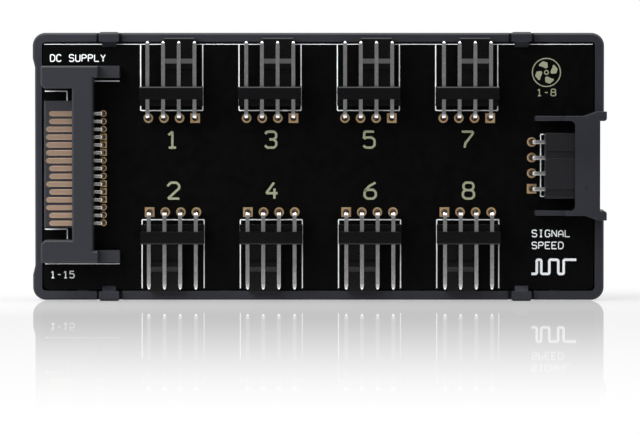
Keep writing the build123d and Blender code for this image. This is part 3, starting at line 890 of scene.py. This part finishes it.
def header_outline(row):
    """The box printed round a fan header, open at the board's edge."""
    reach = BOARD_HALF_Y - abs(row[0].y) - EDGE_HIGHLIGHT_INSET - EDGE_HIGHLIGHT_STROKE / 2
    corners = [
        (-OUTLINE_HALF, reach),
        (-OUTLINE_HALF, OUTLINE_FROM_PINS),
        (OUTLINE_HALF, OUTLINE_FROM_PINS),
        (OUTLINE_HALF, reach),
    ]
    return [tuple(turned(row, x, y)[:2]) for x, y in corners], False


def plug_outline():
    """Painted highlights: white lines on the board along the lower edges of the plug's arms, blade and
    legs, and along the board's cut edge beside the blade, where those edges catch light from below.
    """
    outer, inner, leg, heel = -44.5 * MM, -40.9 * MM, -36.4 * MM, -32.35 * MM
    upper, upper_end = 12.25 * MM, 10.3 * MM
    lower, lower_end = -10.2 * MM, -12.1 * MM
    upper_leg, lower_leg = 13.9 * MM, -15.85 * MM
    return [
        ([(outer, upper), (inner, upper), (inner, upper_end)], False),
        ([(outer, lower), (inner, lower), (inner, lower_end)], False),
        ([(leg, upper_leg), (heel, upper_leg)], False),
        ([(outer, lower_leg), (heel, lower_leg)], False),
    ]


def control_outline():
    """The line printed behind the control input's body, with its ends turned towards the mouth."""
    start = CONTROL_OUTLINE_FROM_PINS
    tick = start + CONTROL_OUTLINE_TICK
    corners = [
        (-OUTLINE_HALF, tick),
        (-OUTLINE_HALF, start),
        (OUTLINE_HALF, start),
        (OUTLINE_HALF, tick),
    ]
    return [([tuple(turned(CONTROL_ROW, x, y)[:2]) for x, y in corners], False)]


def fan_blades(x, y, radius):
    """The swept blades of a plain fan wheel. A blade is given by shares of the radius and angles."""
    sweep = [(0.3, 0.25), (0.55, 0.7), (0.8, 0.95), (0.84, 0.3), (0.7, -0.1), (0.34, -0.3)]
    blades = []
    for blade in range(FAN_BLADES):
        turn = 2 * math.pi * blade / FAN_BLADES
        points = [
            (x + radius * r * math.cos(turn + a), y + radius * r * math.sin(turn + a)) for r, a in sweep
        ]
        blades.append((points, True))
    return blades


def pulse_sign(x, y, width, height):
    """A square wave with pulses that grow wider."""
    points = [(x, y)]
    for i, edge in enumerate(PULSE_EDGES):
        before, after = (y + height, y) if i % 2 else (y, y + height)
        points += [(x + edge * width, before), (x + edge * width, after)]
    return [(points[:-1], False)]


# Build the hub

dressed("housing_tray", TRAY_EDGE, TRAY_PLASTIC)
dressed("power_plug_housing", PLUG_EDGE, PLUG_PLASTIC)
dressed(
    "power_plug_contacts",
    CONTACT_EDGE,
    CONTACT_PLATING,
    front_only=True,
    fine_from=tail_start,
)
dressed("control_header", HEADER_EDGE, HOOD_PLASTIC)
for n in FAN_ROWS:
    dressed(f"fan_header_{n}", HEADER_EDGE, HEADER_PLASTIC)

coated("circuit_board", MASK)
coated("buffer_chip", CHIP_EPOXY)
coated("resettable_fuse", CHIP_CERAMIC)
coated("supply_capacitors", CHIP_CERAMIC)
coated("pull_up_resistors", CHIP_CERAMIC)
coated("back_magnets", MAGNET_NICKEL)

pins = pin_tree()
for name, rows, nodes, metal in (
    ("fan_pins", list(FAN_ROWS.values()), [f"fan_header_{n}_pins" for n in FAN_ROWS], PIN_TIN),
    ("control_pins", [CONTROL_ROW], ["control_header_pins"], CROSS_PIN_TIN),
):
    low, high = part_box(nodes[0])
    places, turns = zip(*rows)
    mesh = grown(
        pins,
        points_mesh(name, places, "turn", "FLOAT", turns),
        pin=PIN,
        edge=PIN_EDGE,
        pitch=PIN_PITCH,
        count=PIN_COUNT,
        foot=board_low.y - high.y,
        height=board_low.y - low.y - PIN / 2,
        reach=(high.x - low.x if name == "control_pins" else high.z - low.z) - PIN / 2,
        bend=PIN_BEND,
        tip=PIN_TIP,
        tip_share=PIN_TIP_SHARE,
        end=PIN_END,
        end_share=PIN_END_SHARE,
        material=metal,
    )
    seat(name, mesh, nodes)

pin_points, pin_squares = [], []
for row in [*FAN_ROWS.values(), CONTROL_ROW]:
    for i in range(PIN_COUNT):
        pin_points.append(turned(row, (i - (PIN_COUNT - 1) / 2) * PIN_PITCH, 0))
        pin_squares.append(i == PIN_COUNT - 1)
contact_points = [
    CONTACT_ROW + Vector((0, ((CONTACT_COUNT - 1) / 2 - i) * CONTACT_PITCH, 0))
    for i in range(CONTACT_COUNT)
]
contact_squares = [i + 1 in SQUARE_CONTACT_PADS for i in range(CONTACT_COUNT)]
pads, slugs = pad_tree(), solder_tree()
for name, points, squares, pad, hole, pin in (
    ("pin", pin_points, pin_squares, PAD, PAD_HOLE, PIN),
    ("contact", contact_points, contact_squares, CONTACT_PAD, CONTACT_HOLE, CONTACT_THICKNESS),
):
    host = points_mesh(name + "_pads", points, "square", "BOOLEAN", squares)
    mesh = grown(pads, host, pad=pad, hole=hole, copper=COPPER, material=PAD_GOLD)
    seat(name + "_pads", mesh)
    mesh = grown(
        slugs, host, hole=hole, pin=pin, depth=SOLDER_DEPTH, below=SOLDER_BELOW_FACE, material=SOLDER
    )
    seat(name + "_solder", mesh)

# Painted highlight: a thin white line along the board's upper edge, where the edge catches the light
# from above.
highlight_y = BOARD_HALF_Y - EDGE_HIGHLIGHT_INSET
highlight_x = BOARD_HALF_X - EDGE_HIGHLIGHT_INSET
numbers = []
for n, (place, turn) in FAN_ROWS.items():
    middle = place.y - NUMBER_FROM_PINS if turn == 0 else place.y + NUMBER_FROM_PINS
    foot = middle - NUMBER_HEIGHT / 2
    numbers += centred(str(n), place.x + NUMBER_SHIFT, foot, NUMBER_HEIGHT, NUMBER_SPREAD)
# Flat work on the board: print, and white lines that paint highlights along edges.
PRINT_AND_HIGHLIGHT_WORK = (
    (
        # Printed outlines round the headers and the control input, with the painted highlights beside
        # the plug.
        "outline_print",
        [header_outline(row) for row in FAN_ROWS.values()] + plug_outline() + control_outline(),
        OUTLINE_STROKE,
        OUTLINE_CORNER,
        PRINT_AND_HIGHLIGHT_WHITE,
    ),
    ("edge_print", [([(-highlight_x, highlight_y), (highlight_x, highlight_y)], False)], EDGE_HIGHLIGHT_STROKE, 0, PRINT_AND_HIGHLIGHT_WHITE),
    ("number_print", numbers, NUMBER_STROKE, NUMBER_CORNER, PRINT_KHAKI),
    (
        "legend_print",
        written("DC SUPPLY", POWER_LEGEND_X, SUPPLY_LEGEND_Y, LEGEND_HEIGHT)
        + written("1-15", POWER_LEGEND_X, CONTACT_LEGEND_Y, LEGEND_HEIGHT)
        + written("SIGNAL", CONTROL_LEGEND_X, SIGNAL_LEGEND_Y, LEGEND_HEIGHT, CONTROL_LEGEND_SPREAD)
        + written("SPEED", CONTROL_LEGEND_X, SPEED_LEGEND_Y, LEGEND_HEIGHT, CONTROL_LEGEND_SPREAD),
        LEGEND_STROKE,
        LEGEND_CORNER,
        PRINT_AND_HIGHLIGHT_WHITE,
    ),
    ("pulse_print", pulse_sign(*PULSE_PLACE, *PULSE_SIZE), PULSE_STROKE, PULSE_CORNER, PRINT_AND_HIGHLIGHT_WHITE),
    (
        "fan_print",
        [ring(*FAN_SIGN, FAN_SIGN_RADIUS, FAN_SIGN_SIDES)]
        + [ring(*FAN_SIGN, FAN_HUB_SHARE * FAN_SIGN_RADIUS, FAN_HUB_SIDES)]
        + centred("1-8", FAN_SIGN[0], FAN_LEGEND_Y, LEGEND_HEIGHT, FAN_LEGEND_SPREAD),
        LEGEND_STROKE,
        FAN_SIGN_CORNER,
        PRINT_KHAKI,
    ),
)
line_bands = print_tree()
for name, lines, stroke, corner, ink in PRINT_AND_HIGHLIGHT_WORK:
    host = lines_mesh(name, lines)
    mesh = grown(line_bands, host, stroke=stroke, corner=corner, ink=PRINT, material=ink)
    seat(name, mesh)
blades = lines_mesh("fan_blade_print", fan_blades(*FAN_SIGN, FAN_SIGN_RADIUS))
mesh = grown(patch_tree(), blades, corner=FAN_BLADE_CORNER, ink=PRINT, material=PRINT_KHAKI)
seat("fan_blade_print", mesh)


# Studio: a white floor that mirrors what stands on it for a hand's breadth, soft light from above,
# and a dim side towards the camera

FLOOR_REACH = 4.0
PAPER = (0.82, 0.82, 0.82, 1)
POLISH = 0.02
MIRROR = 0.46
MIRROR_NEAR = 0.02
MIRROR_FAR = 0.255
MIRROR_BEHIND = 0.04
SHADOW_SHARE = 0.4
SHADOW_FAR = 0.05
ROOM_LEVEL = 0.35
FLOOR_BOUNCE = 0.35
LIGHT_AIM = (0, 0, 0.02)

# The dim side: how bright it is, and the y of places on the floor and of directions in the room
# between which it turns bright
FRONT_LEVEL = 0.19
DIM_FLOOR = -0.1
BRIGHT_FLOOR = -0.015
DIM_ROOM = -0.88
BRIGHT_ROOM = -0.3


def floor_material():
    """White paper with a polish near the hub, where it also takes some of the hub's shadow."""
    material = bpy.data.materials.new("studio_floor")
    material.use_nodes = True
    tree = material.node_tree
    tree.nodes.clear()
    place = tree.nodes.new("ShaderNodeTexCoord").outputs["Object"]
    outside = add(tree, "ShaderNodeVectorMath", {0: place}, operation="ABSOLUTE")
    beyond = add(
        tree,
        "ShaderNodeVectorMath",
        {0: outside.outputs[0], 1: (cad_box[1][0], cad_box[1][1], 0)},
        operation="SUBTRACT",
    )
    clear = add(tree, "ShaderNodeVectorMath", {0: beyond.outputs[0], 1: (0, 0, 0)}, operation="MAXIMUM")
    length = add(tree, "ShaderNodeVectorMath", {0: clear.outputs[0]}, operation="LENGTH")
    distance = length.outputs["Value"]
    mirror = ramp(tree, distance, MIRROR_NEAR, MIRROR_FAR, MIRROR, 0.0, "SMOOTHSTEP")
    shade = ramp(tree, distance, 0.0, SHADOW_FAR, SHADOW_SHARE, 0.0, "SMOOTHSTEP")
    path = tree.nodes.new("ShaderNodeLightPath").outputs
    seen = math_node(tree, "MAXIMUM", path["Is Camera Ray"], path["Is Glossy Ray"])
    seen = math_node(tree, "MAXIMUM", seen, path["Is Transmission Ray"])
    along = add(tree, "ShaderNodeSeparateXYZ", {"Vector": place}).outputs["Y"]
    behind = ramp(tree, along, 0.0, MIRROR_BEHIND, 1.0, 0.0, "SMOOTHSTEP")
    mirrored = math_node(tree, "MULTIPLY", mirror, behind)
    before = ramp(tree, along, DIM_FLOOR, BRIGHT_FLOOR, FRONT_LEVEL, 1.0, "SMOOTHSTEP")
    strength = math_node(tree, "MAXIMUM", before, path["Is Camera Ray"])
    white = add(tree, "ShaderNodeEmission", {"Strength": strength})
    paper = add(tree, "ShaderNodeBsdfDiffuse", {"Color": PAPER})
    lit = add(tree, "ShaderNodeMixShader", {0: shade, 1: white.outputs[0], 2: paper.outputs[0]})
    polished = add(tree, "ShaderNodeBsdfGlossy", {"Roughness": POLISH})
    shown = add(tree, "ShaderNodeMixShader", {0: mirrored, 1: lit.outputs[0], 2: polished.outputs[0]})
    bounce = add(tree, "ShaderNodeBsdfDiffuse", {"Color": (FLOOR_BOUNCE, FLOOR_BOUNCE, FLOOR_BOUNCE, 1)})
    both = add(tree, "ShaderNodeMixShader", {0: seen, 1: bounce.outputs[0], 2: shown.outputs[0]})
    add(tree, "ShaderNodeOutputMaterial", {"Surface": both.outputs[0]})
    return material


def studio_room():
    """White to the camera everywhere. To the hub it is soft white, and dim on the camera's side."""
    world = bpy.data.worlds.new("studio")
    scene.world = world
    world.use_nodes = True
    tree = world.node_tree
    tree.nodes.clear()
    direction = tree.nodes.new("ShaderNodeTexCoord").outputs["Generated"]
    towards = add(tree, "ShaderNodeSeparateXYZ", {"Vector": direction}).outputs["Y"]
    front = ramp(tree, towards, DIM_ROOM, BRIGHT_ROOM, FRONT_LEVEL, 1.0, "SMOOTHSTEP")
    path = tree.nodes.new("ShaderNodeLightPath").outputs
    mirrored = math_node(tree, "MAXIMUM", path["Is Glossy Ray"], path["Is Transmission Ray"])
    level = ramp(tree, mirrored, 0.0, 1.0, ROOM_LEVEL, 1.0)
    lit = math_node(tree, "MULTIPLY", front, level)
    strength = math_node(tree, "MAXIMUM", lit, path["Is Camera Ray"])
    room = add(tree, "ShaderNodeBackground", {"Color": (1, 1, 1, 1), "Strength": strength})
    add(tree, "ShaderNodeOutputWorld", {"Surface": room.outputs[0]})


def softbox(name, place, size, power, mirrored=True):
    """A soft light that points at the hub. Where mirrored is False, no glossy face shows it."""
    lamp = bpy.data.lights.new(name, "AREA")
    lamp.shape = "RECTANGLE"
    lamp.size, lamp.size_y = size
    lamp.energy = power
    holder = bpy.data.objects.new(name, lamp)
    scene.collection.objects.link(holder)
    holder.visible_glossy = mirrored
    holder.location = place
    holder.rotation_euler = (Vector(LIGHT_AIM) - Vector(place)).to_track_quat("-Z", "Y").to_euler()


floor_mesh = bpy.data.meshes.new("studio_floor")
floor_corners = [(x * FLOOR_REACH, y * FLOOR_REACH, 0) for x, y in ((-1, -1), (1, -1), (1, 1), (-1, 1))]
floor_mesh.from_pydata(floor_corners, [], [(0, 1, 2, 3)])
floor_mesh.materials.append(floor_material())
floor = bpy.data.objects.new("studio_floor", floor_mesh)
scene.collection.objects.link(floor)
studio_room()
softbox("overhead_softbox", place=(0, -0.12, 0.62), size=(0.8, 0.5), power=3.2)
softbox("key_softbox", place=(-0.17, -0.18, 0.14), size=(0.18, 0.18), power=1.0, mirrored=False)
softbox("camera_softbox", place=(-0.1, -0.75, 0.1), size=(0.3, 0.2), power=0.8, mirrored=False)

# Camera: square on to the printed face, a little above the hub's middle

CAMERA_DISTANCE = 0.7
CAMERA_HEIGHT = 0.033
AIM_X = 0.26 * MM
AIM_BELOW_MIDDLE = 8.15 * MM
VIEW_WIDTH = 104.23 * MM
SENSOR_WIDTH = 36
NEAREST = 0.01
FARTHEST = 20
AIM = Vector((AIM_X, board_low.y, BOARD_MIDDLE - AIM_BELOW_MIDDLE))
lens = bpy.data.cameras.new("camera")
lens.sensor_width = SENSOR_WIDTH
lens.sensor_fit = "HORIZONTAL"
camera = bpy.data.objects.new("camera", lens)
scene.collection.objects.link(camera)
camera.location = (AIM.x, board_low.y - CAMERA_DISTANCE, CAMERA_HEIGHT)
sight = AIM - camera.location
lens.lens = lens.sensor_width * sight.length / VIEW_WIDTH
lens.clip_start = NEAREST
lens.clip_end = FARTHEST
camera.rotation_euler = sight.to_track_quat("-Z", "Y").to_euler()
scene.camera = camera
